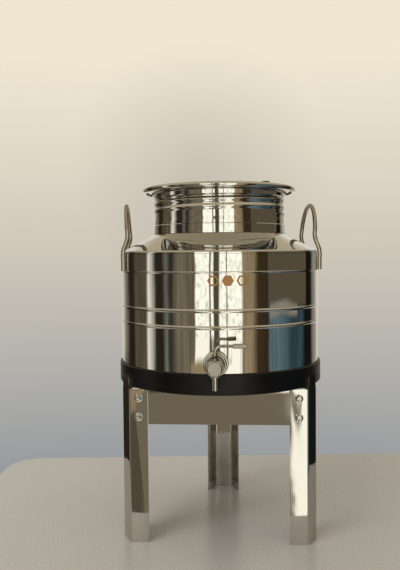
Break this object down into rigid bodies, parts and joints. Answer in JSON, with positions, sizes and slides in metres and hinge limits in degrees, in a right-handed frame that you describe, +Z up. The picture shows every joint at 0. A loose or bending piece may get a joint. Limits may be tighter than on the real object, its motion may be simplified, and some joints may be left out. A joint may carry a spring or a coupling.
{
  "type": "honey storage drum with tap and stand",
  "caption": "Polished steel honey drum with a screw-in lid, lever tap, wire handles and black base ring, standing on a three-legged bolted sheet stand.",
  "frame": {"origin": "middle of the bounding box, on the floor under the feet; the drum's axis is 22.95 mm behind it", "axes": "+Z up along the drum's axis, -Y to the front where the tap points, +X to the right, where the closed tap's lever points"},
  "size_m": [0.3072, 0.3568, 0.5208],
  "materials": {
    "mirror_steel": "mirror-polished stainless steel",
    "black_plastic": "moulded black, low sheen",
    "black_rubber": "matt black",
    "white_silicone": "matt milky white",
    "seat_plastic": "white seal plastic",
    "satin_steel": "satin stainless steel",
    "bolt_steel": "bright zinc-plated steel"
  },
  "bodies": {
    "stand": {"leg_left": "mirror_steel", "leg_right": "mirror_steel", "leg_rear": "mirror_steel", "apron_front": "mirror_steel", "apron_left": "mirror_steel", "apron_right": "mirror_steel", "screw_front_1": "bolt_steel", "screw_front_2": "bolt_steel", "screw_front_3": "bolt_steel", "screw_front_4": "bolt_steel", "screw_right_1": "bolt_steel", "screw_right_2": "bolt_steel", "screw_right_3": "bolt_steel", "screw_right_4": "bolt_steel", "screw_left_1": "bolt_steel", "screw_left_2": "bolt_steel", "screw_left_3": "bolt_steel", "screw_left_4": "bolt_steel", "nut_front_1": "bolt_steel", "nut_front_2": "bolt_steel", "nut_front_3": "bolt_steel", "nut_front_4": "bolt_steel", "nut_right_1": "bolt_steel", "nut_right_2": "bolt_steel", "nut_right_3": "bolt_steel", "nut_right_4": "bolt_steel", "nut_left_1": "bolt_steel", "nut_left_2": "bolt_steel", "nut_left_3": "bolt_steel", "nut_left_4": "bolt_steel"},
    "drum": {"drum_wall": "mirror_steel", "drum_bottom": "mirror_steel", "drum_shoulder": "mirror_steel", "neck_collar": "mirror_steel", "handle_left": "mirror_steel", "handle_right": "mirror_steel", "base_ring": "black_plastic", "tap_body": "satin_steel", "tap_outer_gasket": "black_rubber", "tap_inner_gasket": "black_rubber", "tap_backnut": "satin_steel", "ball_seat_inlet": "seat_plastic", "ball_seat_cap": "seat_plastic", "tap_end_cap": "satin_steel", "tap_nozzle": "satin_steel", "stem_gland": "satin_steel"},
    "gasket": {"lid_gasket": "white_silicone"},
    "lid": {"lid_top": "mirror_steel", "lid_thread_ring": "mirror_steel"},
    "vent": {"vent_plug": "black_rubber"},
    "lever": {"tap_lever": "satin_steel", "lever_sleeve": "satin_steel", "valve_stem": "satin_steel", "valve_ball": "satin_steel"}
  },
  "joints": [
    {"name": "drum_lift_off", "type": "slide", "parent": "stand", "child": "drum", "axis": [0, 0, 1], "range_m": [0, 0.1]},
    {"name": "lid_lift", "type": "slide", "parent": "drum", "child": "gasket", "axis": [0, 0, 1], "range_m": [0, 0.0226]},
    {"name": "lid_turn", "type": "hinge", "parent": "gasket", "child": "lid", "pos_m": [0, 0.02295, 0.5], "axis": [0, 0, 1], "range_deg": [0, 810]},
    {"name": "vent_pull", "type": "slide", "parent": "lid", "child": "vent", "axis": [0, 0, 1], "range_m": [0, 0.012]},
    {"name": "tap_lever_turn", "type": "hinge", "parent": "drum", "child": "lever", "pos_m": [0, -0.16405, 0.27], "axis": [0, 0, 1], "range_deg": [-90, 0]}
  ],
  "couplings": [
    {"joint": "lid_lift", "follows": "lid_turn", "m_per_rad": 0.0015915}
  ]
}
